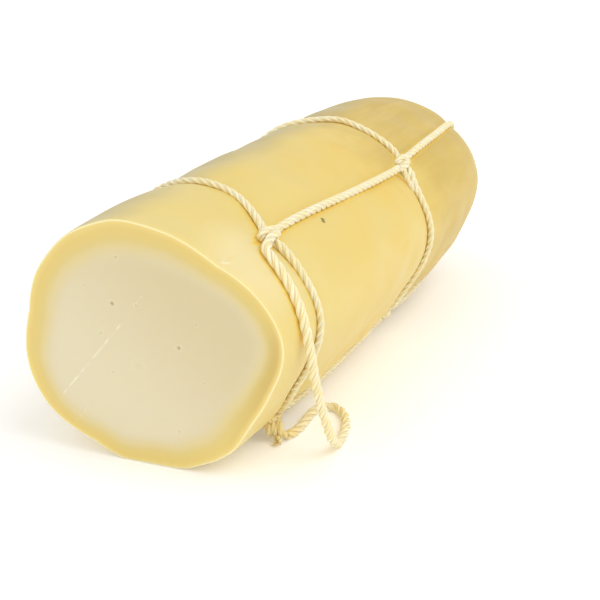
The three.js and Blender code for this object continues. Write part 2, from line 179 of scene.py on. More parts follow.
section_radius = curve_through(SECTION, 360)
girth = curve_through(GIRTH)
front_ring = curve_through(FRONT_RING, 360)
rear_ring = curve_through(REAR_RING, 360)
RINGS = (front_ring, rear_ring)
cord_angle = [curve_through(knots) for knots in LENGTHWISE]
END_START = LENGTH - END_LENGTH


def smoothstep(x, low, high):
    t = np.clip((x - low) / (high - low), 0, 1)
    return t * t * (3 - 2 * t)


def station(s):
    """y and the share of the full radius at a station; over the rounded end it runs round the curve."""
    turn = np.clip((s - END_START) / END_LENGTH, 0, 1) * math.pi / 2
    bend = 2 / END_POWER
    y = np.where(s <= END_START, s, END_START + END_LENGTH * np.sin(turn) ** bend)
    return y, np.maximum(np.cos(turn), 0) ** bend


def skin(angle, s):
    """The bare cheese at an angle and a station."""
    angle, s = np.broadcast_arrays(np.asarray(angle, float), np.asarray(s, float))
    y, share = station(s)
    even = EVENING * smoothstep(y, EVENING_START, LENGTH)
    radius = section_radius(angle)
    radius = radius + (MEAN_RADIUS - radius) * even
    pinch = sum(bell(y - ring(angle), RING_PINCH_REACH) for ring in RINGS)
    turn = np.radians(angle)
    down = np.maximum(-np.sin(turn), 0)
    radius = (radius * girth(y) + BELLY_SAG * down**4 - RING_PINCH * pinch) * share
    pressed = least(radius, AXIS_HEIGHT / np.maximum(down, 1e-6), SETTLED) + swelling(angle, y)
    x = BOW * (y / LENGTH) ** 2 + pressed * np.cos(turn)
    return np.stack([x, y, AXIS_HEIGHT + pressed * np.sin(turn)], -1)


def norm(v):
    """Lengths of vectors."""
    return np.linalg.norm(v, axis=-1)


def unit(v):
    return v / np.maximum(norm(v), 1e-12)[..., None]


SLOPE_STEP = 0.0005  # over which the skin's slope is taken
SLOPE_DEGREES = 0.5
CORD_HEIGHT = CORD / 2 - CORD_PRESS  # of a cord's middle over the bare skin
CROSSING_ROUNDS = 4  # of looking for the place where two cords cross
DEGREES_PER_METRE = math.degrees(1 / MEAN_RADIUS)


def outward(angle, s):
    """The skin's normal."""
    s = np.asarray(s, float)
    across = skin(angle + SLOPE_DEGREES, s) - skin(angle - SLOPE_DEGREES, s)
    lengthwise = skin(angle, np.minimum(s + SLOPE_STEP, LENGTH)) - skin(angle, s - SLOPE_STEP)
    at_tip = (s >= LENGTH - SLOPE_STEP)[..., None]
    return np.where(at_tip, (0.0, 1.0, 0.0), unit(np.cross(lengthwise, across)))


def above(angle, s, height):
    """A point over the skin, kept clear of the table."""
    at = skin(angle, s) + outward(angle, s) * np.asarray(height)[..., None]
    over = (at[..., 2] - LOWEST) / 2
    at[..., 2] = LOWEST + over + np.hypot(over, BEND)
    return at


def crossing_y(ring, i):
    """Where a lengthwise cord crosses a ring."""
    y = ring(cord_angle[i](0.0))
    for _ in range(CROSSING_ROUNDS):
        y = ring(cord_angle[i](y))
    return float(y)


def crossing(ring, i):
    """A hitch's own frame: place(u along the ring, v along the log, w outwards)."""
    y0 = crossing_y(ring, i)
    middle = float(ring(cord_angle[i](y0)))

    def place(u, v, w):
        angle = cord_angle[i](y0 + v) + u * DEGREES_PER_METRE
        return above(angle, y0 + v + ring(angle) - middle, CORD_HEIGHT + w)

    return place


# ---- the cheese's mesh ----
# Columns beside a lengthwise cord and rows beside a ring stand this far from its middle.
BESIDE = np.array([0, 0.0006, 0.0011, 0.0015, 0.0018, 0.0021, 0.0025, 0.0031, 0.004, 0.0053, 0.007])
BESIDE = np.concatenate([-BESIDE[:0:-1], BESIDE])
SPACING = 0.0018  # between the other columns and rows
VALLEY = 0.0009  # the cheese is drawn down this deep along a cord ...
VALLEY_REACH = 0.0042  # ... over about this distance
HITCH_DENT = 0.0007
HITCH_DENT_REACH = 0.007
OLD_GROOVE = 0.3  # share of the groove left where the front cords are gone
OLD_GROOVE_START = 0.008  # from the front ring
# Rows between the cut and the front ring, the rings, the rear ring and the rounded end, and over it.
ROWS = (22, 70, 40, 56)
# Slight waves of the skin: number, seed, shortest and longest, range of phases.
SKIN_WAVES = (14, 11, (0.022, 0.07), 2 * math.pi)
SKIN_WAVE_HEIGHT = 0.00012


def gap_counts():
    """How many columns stand between each lengthwise cord and the next."""
    angles = np.array([angle(0.0) for angle in cord_angle])
    apart = np.diff(angles, append=angles[0] + 360)
    counts = (np.radians(apart) * MEAN_RADIUS - 2 * BESIDE[-1]) / SPACING
    return [round(count) for count in counts]


GAP_COUNTS = gap_counts()


def column_angles(y):
    """The angles of all columns at each y, as an array with the columns last."""
    y = np.asarray(y, float)[..., None]
    parts = []
    for i, angle in enumerate(cord_angle):
        here = angle(y)
        after = cord_angle[i + 1](y) if i + 1 < len(cord_angle) else cord_angle[0](y) + 360
        reach = BESIDE[-1] * DEGREES_PER_METRE
        parts.append(here + BESIDE * DEGREES_PER_METRE)
        share = np.arange(1, GAP_COUNTS[i]) / GAP_COUNTS[i]
        parts.append(here + reach + (after - here - 2 * reach) * share)
    return np.concatenate(parts, -1)


def face_plane(x, z):
    """y of the flat cut face."""
    return CUT_LEAN[0] * x + CUT_LEAN[1] * (z - AXIS_HEIGHT)


def cut_y(angle):
    """Where the knife met the skin."""
    at = skin(angle, 0.0)
    return face_plane(at[..., 0], at[..., 2])


def spread(low, high, count):
    """Even steps from low up to high, without high itself."""
    share = np.arange(count) / count
    return low[..., None] + (high - low)[..., None] * share


def row_stations(angle):
    """The stations of all rows at each angle, as an array with the rows last."""
    angle = np.asarray(angle, float)
    front, rear = front_ring(angle), rear_ring(angle)
    reach = BESIDE[-1]
    whole = np.full_like(angle, END_START)
    return np.concatenate([
        spread(cut_y(angle) + EDGE_RADIUS, front - reach, ROWS[0]),
        front[..., None] + BESIDE[:-1],
        spread(front + reach, rear - reach, ROWS[1]),
        rear[..., None] + BESIDE[:-1],
        spread(rear + reach, whole, ROWS[2]),
        spread(whole, np.full_like(angle, LENGTH), ROWS[3]),
    ], -1)


def away_from(ring, angle, y):
    """About how far a point is from a ring's middle line."""
    steep = (ring(angle + 1) - ring(angle - 1)) / (math.radians(2) * MEAN_RADIUS)
    return np.abs(y - ring(angle)) / np.hypot(1, steep)


def groove(away, lifted, share=1.0):
    """Depth of the cheese under and beside a cord whose middle is lifted off the skin."""
    pocket = np.sqrt(np.maximum((CORD / 2) ** 2 - away**2, 0)) - lifted
    pocket = np.where(away < CORD / 2, pocket, 0) * share
    valley = (VALLEY * share + np.maximum(-lifted, 0)) * bell(away, VALLEY_REACH)
    return np.maximum(pocket, valley)


def relief(angle, s):
    """How deep the cords' grooves and the hitches' dents are."""
    y, share = station(s)
    bare = skin(angle, s)
    lifted = ((above(angle, s, CORD_HEIGHT) - bare) * outward(angle, s)).sum(-1)
    radius = np.hypot(bare[..., 0], bare[..., 2] - AXIS_HEIGHT)
    depth = np.zeros_like(radius)
    for ring in RINGS:
        depth = np.maximum(depth, groove(away_from(ring, angle, y), lifted))
    cordless = smoothstep(front_ring(angle) - y, OLD_GROOVE_START, OLD_GROOVE_START * 2)
    left = 1 - (1 - OLD_GROOVE) * cordless
    for path in cord_angle:
        away = np.abs(np.radians(turned(angle, path(y)))) * radius
        depth = np.maximum(depth, groove(away, lifted, left))
    for ring in RINGS:
        for i in range(len(cord_angle)):
            far = norm(bare - crossing(ring, i)(0, 0, 0))
            depth = depth + HITCH_DENT * bell(far, HITCH_DENT_REACH)
    return depth


def waves(points, count, seed, lengths, phases):
    """Sum of plane waves in all directions."""
    draw = np.random.default_rng(seed)
    height = np.zeros(points.shape[:-1])
    for _ in range(count):
        direction = unit(draw.normal(size=points.shape[-1]))
        length = draw.uniform(*lengths)
        height += np.sin(points @ direction * (2 * math.pi / length) + draw.uniform(0, phases))
    return height


def crumples(points):
    """How high the torn bits of rind stand up, and how much of each there is at a point."""
    rise = np.zeros(points.shape[:-1])
    torn = np.zeros(points.shape[:-1])
    for angle, y, height, reach in CRUMPLES:
        near = bell(norm(points - skin(angle, y)), reach)
        rise += height * near
        torn += near
    return rise, torn


def surface(angle, s):
    """The finished surface."""
    bare = skin(angle, s)
    y, share = station(s)
    rise = waves(bare, *SKIN_WAVES) * SKIN_WAVE_HEIGHT * share + crumples(bare)[0]
    at = bare + outward(angle, s) * (rise - relief(angle, s))[..., None]
    at[..., 2] = np.maximum(at[..., 2], 0)
    return at


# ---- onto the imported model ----
MIDDLE = np.array([-0.0000827, 0.1653326, 0])  # of the tied log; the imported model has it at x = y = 0


def in_row(points):
    """From the log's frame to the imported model's."""
    return np.asarray(points, float) - MIDDLE


def placed(name, data):
    """A new object in the scene."""
    thing = bpy.data.objects.new(name, data)
    bpy.context.collection.objects.link(thing)
    return thing


def new_piece(name, points, faces, material):
    """A smooth piece of points in the log's frame."""
    mesh = bpy.data.meshes.new(name)
    mesh.from_pydata(in_row(points).tolist(), [], faces)
    mesh.polygons.foreach_set("use_smooth", [True] * len(mesh.polygons))
    mesh.materials.append(material)
    return placed(name, mesh)


# ---- the camera ----
CAMERA_AT = (0.27774, -0.407912, 0.28461)
CAMERA_AZIMUTH = 26.62
CAMERA_ELEVATION = 22.33
LENS = 0.0741
SENSOR = 0.036
VIEW_END = 50  # how far the camera sees
MILLIMETRES = 1000  # in a metre


def make_camera():
    data = bpy.data.cameras.new("camera")
    data.sensor_width = SENSOR * MILLIMETRES
    data.sensor_height = SENSOR * MILLIMETRES
    data.lens = LENS * MILLIMETRES
    data.clip_end = VIEW_END
    camera = placed("camera", data)
    camera.location = in_row(CAMERA_AT)
    azimuth, elevation = math.radians(CAMERA_AZIMUTH), math.radians(CAMERA_ELEVATION)
    back = Vector((
        math.sin(azimuth) * math.cos(elevation),
        -math.cos(azimuth) * math.cos(elevation),
        math.sin(elevation),
    ))
    camera.rotation_euler = back.to_track_quat("Z", "Y").to_euler()
    bpy.context.scene.camera = camera


make_camera()

# ---- the cords' paths ----
HITCH_REACH = 0.008  # half the length of a hitch along the log
RING_DIP = 0.0014  # a ring is pulled in under a hitch ...
RING_DIP_REACH = 0.006  # ... over about this distance
REAR_LIFT = 0.0013  # how far the rear ring rides up beside a hitch ...
RING_LIFT_AT = 0.0080  # ... how far from the hitch that is ...
RING_LIFT_REACH = 0.0045  # ... and over about what distance
RING_POINTS = 240
PATH_STEP = 0.004  # of a lengthwise cord between its hitches
THROUGH_REACH = 0.003  # how much further a rear hitch reaches forwards
TIP_CROSSING = 0.008  # how far from the tip a lengthwise cord ends
TIP_HALF = 0.003  # half the straight stretch there
TIP_SEARCH = 600
# A hitch: metres along the ring, along the log and outwards, from the cord's rear side forwards;
# the last number is the share of the hitch's lean that moves the point along the ring.
HITCH = [
    (0, 0.0062, 0, 0), (0.0001, 0.0042, 0.0005, 0), (0.0003, 0.0020, 0.0013, 0.15),
    (0.0005, -0.0004, 0.0018, 0.4), (0.0007, -0.0030, 0.0018, 0.75), (0.0008, -0.0054, 0.0011, 1),
    (0.0005, -0.0065, -0.0001, 1), (0.0001, -0.0048, -0.0012, 0.7), (-0.0006, -0.0010, -0.0042, 0.3),
    (-0.0017, 0.0022, -0.0026, 0.2), (-0.0025, 0.0037, -0.0002, 0.2), (-0.0027, 0.0026, 0.0012, 0.3),
    (-0.0028, 0, 0.0018, 0.35), (-0.0029, -0.0026, 0.0019, 0.35), (-0.0030, -0.0048, 0.0018, 0.3),
]
FRONT_LEAN = 0.0006
REAR_LEAN = 0.0014
# How it goes on: in front at a rear ring, at the tip, and in front at the front ring for each cord.
THROUGH = [(-0.0022, -0.0068, 0.0008), (-0.0010, -0.0095, 0.0001)]
OVER_TIP = [(-0.0022, -0.0066, 0.0008)]
INTO_LOOSE = [(-0.0040, -0.0069, 0.00175)]
STUB = [(-0.0029, -0.0066, 0.0008), (-0.0024, -0.0084, 0.0003)]
SHORT_STUB = [(-0.0030, -0.0060, 0.0009)]
FRONT_ENDS = [INTO_LOOSE, STUB, STUB, SHORT_STUB]
LOOSE_START = (-0.0040, -0.0080, 0.00175)
# At a rear ring a second turn runs along the ring and ends under it.
SECOND_TURN = [
    (0.0010, -0.0020, 0), (-0.0012, -0.0048, 0.0008), (-0.0042, -0.0054, 0.0005), (-0.0078, -0.0048, 0),
    (-0.0113, -0.0036, -0.0007), (-0.0147, -0.0021, -0.0015), (-0.0176, -0.0006, -0.0026),
]


def ring_path(ring, lift=0.0):
    """Round the log, starting under it at the last lengthwise cord, and how thick the cord is.

    lift is how far it rides up over the second turn beside each hitch.
    """
    start = float(cord_angle[3](crossing_y(ring, 3)))
    angle = np.linspace(start, start + 360, RING_POINTS)
    thick = np.full_like(angle, RING_SIZE)
    dip = np.zeros_like(angle)
    for i in range(len(cord_angle)):
        hitch = float(cord_angle[i](crossing_y(ring, i)))
        along = turned(angle, hitch) / DEGREES_PER_METRE
        thick += RING_SWELL * bell(along + RING_SWELL_AT, RING_SWELL_REACH)
        dip += RING_DIP * bell(along, RING_DIP_REACH)
        dip -= lift * bell(along + RING_LIFT_AT, RING_LIFT_REACH)
    return above(angle, ring(angle), CORD_HEIGHT - dip), thick


def between(i, low, high):
    """A lengthwise cord from station high down to station low."""
    s = np.linspace(high, low, max(3, round((high - low) / PATH_STEP)))
    return above(cord_angle[i](station(s)[0]), s, CORD_HEIGHT)


def station_near_tip(i, distance):
    """The station where a lengthwise cord comes this near to the tip."""
    s = np.linspace(END_START, LENGTH, TIP_SEARCH)
    at = above(cord_angle[i](station(s)[0]), s, CORD_HEIGHT)
    far = np.hypot(at[:, 0] - BOW, at[:, 2] - AXIS_HEIGHT)
    return float(s[np.argmax(far < distance)])


def tip_place(u, v, w):
    """The frame of the crossing at the tip: u and v across the tip, w outwards."""
    turn = math.radians(float(cord_angle[0](LENGTH)))
    return np.array([
        BOW + u * math.cos(turn) - v * math.sin(turn),
        LENGTH + (CORD_HEIGHT + w),
        AXIS_HEIGHT + u * math.sin(turn) + v * math.cos(turn),
    ])


def hitch_points(place, lean, ends):
    """The route of a hitch in its frame, and how it goes on."""
    turns = [place(u + lean * share, v, w) for u, v, w, share in HITCH]
    return np.array(turns + [place(*end) for end in ends])


def lengthwise_path(i):
    """From the tip's crossing to its front end."""
    front, rear = crossing_y(front_ring, i), crossing_y(rear_ring, i)
    tip = station_near_tip(i, TIP_CROSSING)
    return np.concatenate([
        between(i, rear + HITCH_REACH, tip),
        hitch_points(crossing(rear_ring, i), REAR_LEAN, THROUGH),
        between(i, front + HITCH_REACH, rear - HITCH_REACH - THROUGH_REACH),
        hitch_points(crossing(front_ring, i), FRONT_LEAN, FRONT_ENDS[i]),
    ])


TIP_STRAIGHT = np.array([tip_place(u, 0, 0) for u in (TIP_HALF, 0, -TIP_HALF)])
TIP_HITCH = hitch_points(tip_place, FRONT_LEAN, OVER_TIP)


def loose_path():
    """From the front hitch over the cheese, down the side and round on the table to the knot."""
    start = crossing(front_ring, 0)(*LOOSE_START)
    on_cheese = [above(angle, y, LOOSE_LIFT) for angle, y in LOOSE_ON_CHEESE]
    return np.array([start, *on_cheese, *map(np.array, LOOSE_DOWN)])


# The knot at its end.
KNOT_MIDDLE = (0.0346, 0.0500, 0.0066)
KNOT_RADIUS = 0.0029  # of its turns' middle line
KNOT_WIDTH = 0.0060  # from its first turn to its last
KNOT_TURNS = 2.2
KNOT_POINTS = 30
KNOT_FROM = 250  # where the first turn starts, from the top, away from the camera first
KNOT_AZIMUTH = 26.6  # of the horizontal line that its turns go round
KNOT_TAIL = [
    (0.0364, 0.0486, 0.0036), (0.0380, 0.0478, 0.0024), (0.0388, 0.0470, 0.0020), (0.0383, 0.0460, 0.0018),
]


def knot_path(start):
    """The cord goes round itself, into the middle and out at the bottom."""
    t = np.linspace(0, 1, KNOT_POINTS)[:, None]
    turn = np.radians(KNOT_FROM + 360 * KNOT_TURNS * t)
    azimuth = math.radians(KNOT_AZIMUTH)
    deep = np.array([-math.sin(azimuth), math.cos(azimuth), 0])
    wide = np.array([math.cos(azimuth), math.sin(azimuth), 0])
    round_it = np.cos(turn) * [0, 0, 1] + np.sin(turn) * deep
    turns = np.array(KNOT_MIDDLE) + wide * KNOT_WIDTH * (0.5 - t) + KNOT_RADIUS * round_it
    return np.vstack([start, turns, KNOT_MIDDLE, KNOT_TAIL])


# ---- ropes ----
STRAND_RADIUS = 0.00115
STRAND_WIDER = 1.08  # how much wider than deep a strand is
STRAND_OFFSET = 0.00078  # of a strand's middle from the cord's ...
LOOSE_OFFSET = 0.00092  # ... and where the cord is loose
RING_SIZE = 0.90  # the cord is this much thinner round the rings ...
RING_SWELL = 0.30  # ... but looser below a hitch ...
RING_SWELL_AT = 0.007
RING_SWELL_REACH = 0.015
LENGTHWISE_SIZE = 1.10  # ... thicker lengthwise ...
LOOSE_SWELL = 1.14  # ... and thicker again where it is loose
STRANDS = 3
STRAND_SIDES = 10
ROPE_STEP = 0.0009
CURVE_POINTS = 13  # on the curve from one given point to the next
FIRST_SIDE = (0.3, 0.2, 1.0)  # about where a path's first sideways direction points
ON_TABLE = 0.00005  # a cord is pressed flat where it lies on the table
# Loose fibres at a cut end.
FRAY_COUNT = 24
FRAY_POINTS = 6
FRAY_SIDES = 5
FRAY_SEED = 40  # of the first frayed end of a piece
FRAY_RADIUS = 0.00026
FRAY_TAPER = 0.6  # share of the radius that is gone at the end
FRAY_LENGTH = 0.0042
FRAY_LENGTHS = (0.5, 1.15)  # lowest and highest share of it
FRAY_ROOT = 0.0009  # how far from the cord's middle they start ...
FRAY_BEFORE = 0.0006  # ... and how far before its end
FRAY_SPREAD = 0.42
FRAY_BEND = 0.25  # share of the length
FRAY_SHADE = 0.3  # where they are on the cord's material, round and along


def reach_along(path):
    """How far along the path each of its points is."""
    return np.concatenate([[0], np.cumsum(norm(np.diff(path, axis=0)))])


def resample(points, step):
    """Points a step apart on the centripetal Catmull-Rom curve through the given ones."""
    p = np.vstack([2 * points[0] - points[1], points, 2 * points[-1] - points[-2]])
    fine = [points[:1]]
    for a, b, c, d in zip(p, p[1:], p[2:], p[3:]):
        knots = np.cumsum([0, *(max(norm(x), 1e-9) ** 0.5 for x in (b - a, c - b, d - c))])
        t = np.linspace(knots[1], knots[2], CURVE_POINTS)[1:, None]
        t0, t1, t2, t3 = knots
        ab = (a * (t1 - t) + b * (t - t0)) / (t1 - t0)
        bc = (b * (t2 - t) + c * (t - t1)) / (t2 - t1)
        cd = (c * (t3 - t) + d * (t - t2)) / (t3 - t2)
        abc = (ab * (t2 - t) + bc * (t - t0)) / (t2 - t0)
        bcd = (bc * (t3 - t) + cd * (t - t1)) / (t3 - t1)
        fine.append((abc * (t2 - t) + bcd * (t - t1)) / (t2 - t1))
    fine = np.vstack(fine)
    reach = reach_along(fine)
    at = np.linspace(0, reach[-1], max(2, round(reach[-1] / step)) + 1)
    return np.stack([np.interp(at, reach, fine[:, k]) for k in range(3)], -1)


def frames(path):
    """A pair of sideways directions that don't twist along the path."""
    tangent = unit(np.gradient(path, axis=0))
    side = [np.array(FIRST_SIDE)]
    for along in tangent:
        side.append(unit(side[-1] - along * (side[-1] @ along)))
    side = np.array(side[1:])
    return side, np.cross(tangent, side)


def circles(middle, radius, side, other, sides, wider=1.0):
    """A circle of points round each point of a path."""
    turn = np.linspace(0, 2 * math.pi, sides, endpoint=False)[None, :, None]
    return middle[:, None] + radius * (
        side[:, None] * np.cos(turn) + wider * other[:, None] * np.sin(turn))


class Mesh:
    """Collects tubes, with a place round and along the strand on each point."""

    def __init__(self):
        self.points, self.places, self.faces = [], [], []

    def tube(self, rings, places):
        """rings: (n, sides, 3), closed at both ends."""
        n, sides, _ = rings.shape
        base = sum(len(p) for p in self.points)
        self.points.append(rings.reshape(-1, 3))
        self.places.append(places.reshape(-1, 2))
        for j in range(n - 1):
            for k in range(sides):
                a, b = base + j * sides + k, base + j * sides + (k + 1) % sides
                self.faces.append((a, b, b + sides, a + sides))
        self.faces.append(tuple(range(base, base + sides))[::-1])
        self.faces.append(tuple(range(base + (n - 1) * sides, base + n * sides)))

    def build(self, name, material):
        piece = new_piece(name, np.concatenate(self.points), self.faces, material)
        places = np.concatenate(self.places)
        flat = np.concatenate([places, np.zeros((len(places), 1))], 1)
        layer = piece.data.attributes.new("along", "FLOAT_VECTOR", "POINT")
        layer.data.foreach_set("vector", flat.ravel())
        return piece


def add_rope(mesh, path, thick=LENGTHWISE_SIZE, loose=None, low=0, high=None):
    """Three twisted strands along a path; low and high pick a part of it.

    loose, from 0 to 1 at each point, says how slack the cord is there.
    """
    side, other = frames(path)
    reach = reach_along(path)
    loose = np.zeros(len(path)) if loose is None else loose
    twists = 1 / (LAY + (LOOSE_LAY - LAY) * loose)
    wound = np.concatenate([[0], np.cumsum(np.diff(reach) * (twists[1:] + twists[:-1]) / 2)])
    size = thick + (LOOSE_SWELL - thick) * loose
    offset = STRAND_OFFSET + (LOOSE_OFFSET - STRAND_OFFSET) * loose
    radius = (STRAND_RADIUS * size)[:, None, None]
    part = slice(low, high)
    for strand in range(STRANDS):
        twist = 2 * math.pi * (wound + strand / STRANDS)
        out = side * np.cos(twist)[:, None] + other * np.sin(twist)[:, None]
        across = other * np.cos(twist)[:, None] - side * np.sin(twist)[:, None]
        middle = path + out * (offset * size)[:, None]
        rings = circles(middle, radius, out, across, STRAND_SIDES, STRAND_WIDER)
        rings[..., 2] = np.maximum(rings[..., 2], ON_TABLE)
        around = np.broadcast_to(np.arange(STRAND_SIDES) / STRAND_SIDES, rings.shape[:2])
        lengthwise = np.broadcast_to(reach[:, None] + strand, rings.shape[:2])
        mesh.tube(rings[part], np.stack([around, lengthwise], -1)[part])


def add_fray(mesh, path, seed):
    """Loose fibres at the last point of a path."""
    draw = np.random.default_rng(seed)
    t = np.linspace(0, 1, FRAY_POINTS)[:, None]
    radius = (FRAY_RADIUS * (1 - FRAY_TAPER * t))[:, None]
    onward = unit(path[-1] - path[-3])
    for _ in range(FRAY_COUNT):
        lean = unit(onward + draw.normal(size=3) * FRAY_SPREAD)
        reach = FRAY_LENGTH * draw.uniform(*FRAY_LENGTHS)
        root = path[-1] - onward * FRAY_BEFORE + draw.normal(size=3) * FRAY_ROOT / 2
        middle = root + t * reach * lean + t**2 * draw.normal(size=3) * reach * FRAY_BEND
        middle[:, 2] = np.maximum(middle[:, 2], FRAY_RADIUS + ON_TABLE)
        side, other = frames(middle)
        rings = circles(middle, radius, side, other, FRAY_SIDES)
        mesh.tube(rings, np.full((*rings.shape[:2], 2), FRAY_SHADE))


def rope_piece(name, path, material, frays=(), **settings):
    """A piece of cord; frays are the paths whose last points are frayed ends."""
    mesh = Mesh()
    add_rope(mesh, path, **settings)
    for k, frayed in enumerate(frays):
        add_fray(mesh, frayed, FRAY_SEED + k)
    return mesh.build(name, material)


# ---- materials ----
def shown(*colour):
    """A colour as it is shown, from 0 to 255, as the linear one that a shader takes."""
    value = np.array(colour) / 255
    return (*np.where(value <= 0.04045, value / 12.92, ((value + 0.055) / 1.055) ** 2.4).tolist(), 1)


class Look:
    """A material and its shader nodes; an input that is a socket is linked, any other is set."""

    def __init__(self, name, **settings):
        self.material = bpy.data.materials.new(name)
        self.material.use_nodes = True
        self.tree = self.material.node_tree
        self.shader = self.tree.nodes["Principled BSDF"]
        self.set(self.shader, {key.replace("_", " "): value for key, value in settings.items()})

    def set(self, node, inputs):
        for key, value in inputs.items():
            if isinstance(value, bpy.types.NodeSocket):
                self.tree.links.new(value, node.inputs[key])
            else:
                node.inputs[key].default_value = value

    def add(self, kind, inputs, output=0, **settings):
        """An output of a new node."""
        node = self.tree.nodes.new("ShaderNode" + kind)
        for key, value in settings.items():
            setattr(node, key, value)
        self.set(node, inputs)
        return node.outputs[output]

    def mixed(self, factor, a, b):
        return self.add("Mix", {0: factor, 6: a, 7: b}, 2, data_type="RGBA")

    def blended(self, factor, a, b):
        return self.add("Mix", {0: factor, 2: a, 3: b}, data_type="FLOAT")

    def ranged(self, value, low, high, to_low=0.0, to_high=1.0, kind="SMOOTHSTEP"):
        """A value taken from the range of low and high to that of to_low and to_high."""
        inputs = {"Value": value, "From Min": low, "From Max": high, "To Min": to_low, "To Max": to_high}
        return self.add("MapRange", inputs, interpolation_type=kind)

    def maths(self, operation, a, b=0.0):
        return self.add("Math", {0: a, 1: b}, operation=operation)

    def times(self, a, b):
        return self.maths("MULTIPLY", a, b)

    def plus(self, a, b):
        return self.maths("ADD", a, b)

    def weighed(self, a, share_a, b, share_b):
        return self.plus(self.times(a, share_a), self.times(b, share_b))

    def centred(self, value, size):
        """A value from 0 to 1 as one from -size / 2 to size / 2."""
        return self.times(self.maths("SUBTRACT", value, 0.5), size)

    def layer(self, under, value, colour, fade, share=1.0):
        """A colour over another, as strong as the value's fade and the share say."""
        strength = self.ranged(value, *fade)
        return self.mixed(self.times(strength, share), under, colour)

    def noise(self, vector, scale, detail=3.0, roughness=0.5):
        inputs = {"Vector": vector, "Scale": scale, "Detail": detail, "Roughness": roughness}
        return self.add("TexNoise", inputs, "Fac")

    def mottled(self, vector, noise, fade):
        return self.ranged(self.noise(vector, *noise), *fade)

    def stretched(self, vector, scale, turn=(0, 0, 0)):
        return self.add("Mapping", {"Vector": vector, "Scale": scale, "Rotation": turn})

    def place(self):
        return self.add("TexCoord", {}, "Object")

    def parts(self, vector):
        """Its x, y and z."""
        return self.add("SeparateXYZ", {0: vector}).node.outputs

    def attribute(self, name, output="Fac"):
        return self.add("Attribute", {}, output, attribute_name=name, attribute_type="GEOMETRY")

    def away(self, vector, at):
        """The distance from a point of the log's frame."""
        return self.add("VectorMath", {0: vector, 1: tuple(in_row(at))}, "Value", operation="DISTANCE")

    def ramp(self, factor, stops):
        colour = self.add("ValToRGB", {"Fac": factor})
        elements = colour.node.color_ramp.elements
        for at, _ in stops[2:]:
            elements.new(at)
        for element, (at, value) in zip(elements, stops):
            element.position = at
            element.color = value
        return colour

    def finish(self, colour, height, strength, distance, **others):
        """The shader gets its colour, its bumps and other inputs."""
        bump = self.add("Bump", {"Strength": strength, "Distance": distance, "Height": height})
        self.set(self.shader, {"Base Color": colour, "Normal": bump, **others})
        return self.material


# Below, a fade says from where to where a value counts, and how strongly at both ends where that
# isn't 0 and 1. A mottling is a noise's scale, detail and roughness, with a fade.
CORD_LIGHT = shown(255, 246, 213)
CORD_DEEP = shown(253, 231, 166)
CREVICE_SHADE = shown(246, 207, 120), (0.4, -0.45, 0.0, 0.75)  # painted shade down between the strands
KNOT_TINT = shown(236, 204, 112), (0.020, 0.005, 0.0, 0.6)  # deeper yellow towards the knot, by distance from it
FIBRES = 9  # shown round each strand
FIBRE_SLANT = 260  # turns of the fibres per metre of strand
FIBRE_WOBBLE = 1.6
WOBBLE_NOISE = (900.0, 2.0)
FIBRE_DEEP = 0.3  # share of the deep colour between fibres ...
BLOTCH_DEEP = 0.45  # ... and in blotches
BLOTCHES = (140.0, 3.0), (0.35, 0.65)
FUZZ = 0.8
FUZZ_NOISE = (2600.0, 2.0)
CORD_BUMP = (0.35, 0.0003)  # strength and height


def cord_material():
    look = Look(
        "cord", Roughness=0.8, Subsurface_Weight=0.4, Subsurface_Radius=(0.0017, 0.0015, 0.0011),
        Subsurface_Scale=1.0, Sheen_Weight=0.15, Sheen_Roughness=0.6)
    place = look.place()
    around, along, _ = look.parts(look.attribute("along", "Vector"))
    wobble = look.times(look.noise(place, *WOBBLE_NOISE), FIBRE_WOBBLE)
    turns = look.plus(look.weighed(around, FIBRES, along, FIBRE_SLANT), wobble)
    fibre = look.ranged(look.maths("SINE", look.times(turns, 2 * math.pi)), -1.0, 1.0)
    shade = look.weighed(look.mottled(place, *BLOTCHES), BLOTCH_DEEP, fibre, FIBRE_DEEP)
    colour = look.mixed(shade, CORD_LIGHT, CORD_DEEP)
    outwards = look.maths("COSINE", look.times(around, 2 * math.pi))
    colour = look.layer(colour, outwards, *CREVICE_SHADE)
    colour = look.layer(colour, look.away(place, KNOT_MIDDLE), *KNOT_TINT)
    height = look.plus(fibre, look.times(look.noise(place, *FUZZ_NOISE), FUZZ))
    return look.finish(colour, height, *CORD_BUMP)


# Colours of the cheese as shown in white light, many with a fade.
RIND_PALE = shown(229, 208, 132)  # beside the cut
EDGE_HIGHLIGHT = shown(238, 224, 174)  # painted highlight along the cut's rounded edge
# From behind the cut, over its edge with its painted highlight, to the middle of the face.
ACROSS_EDGE = [
    (0.0, RIND_PALE), (0.13, RIND_PALE), (0.148, EDGE_HIGHLIGHT), (0.180, EDGE_HIGHLIGHT),
    (0.200, shown(228, 205, 128)), (0.34, shown(222, 198, 116)), (0.56, shown(220, 198, 124)),
    (0.76, shown(221, 204, 148)), (1.0, shown(220, 206, 166)),
]
EDGE_SPAN = (-0.3, 1.4)  # of the rind coordinate that those run over
EDGE_WANDER = 0.25  # of the rind coordinate ...
WANDER_NOISE = (60.0, 3.0)
WANDER_FADE = (0.05, 0.4)  # ... growing over this much of it
PASTE_LIT = shown(223, 212, 179)  # painted light in the lower left of the face
PASTE_SHADED = shown(214, 198, 156), (0.010, 0.116)  # painted shade in its upper right, by x + z
PASTE_FADE = (0.9, 1.8, 0.0, 0.9)  # by rind coordinate
CLOUDS = (30.0, 4.0), (0.3, 0.75)  # of the paste, outside that ...
CLOUD_SHARE = 0.25
CLOUD_FADE = (0.5, 1.2)  # ... by rind coordinate
BAND_DEEP = shown(203, 176, 98), (0.030, 0.060, 0.0, 0.8)  # the band on the face's right side, by x ...
BAND_Z_FADE = (0.090, 0.060)
BAND_FADES = (0.05, 0.3), (1.0, 0.4)  # ... and between these rind coordinates
FACE_FADE = (-0.16, -0.07)  # by rind coordinate
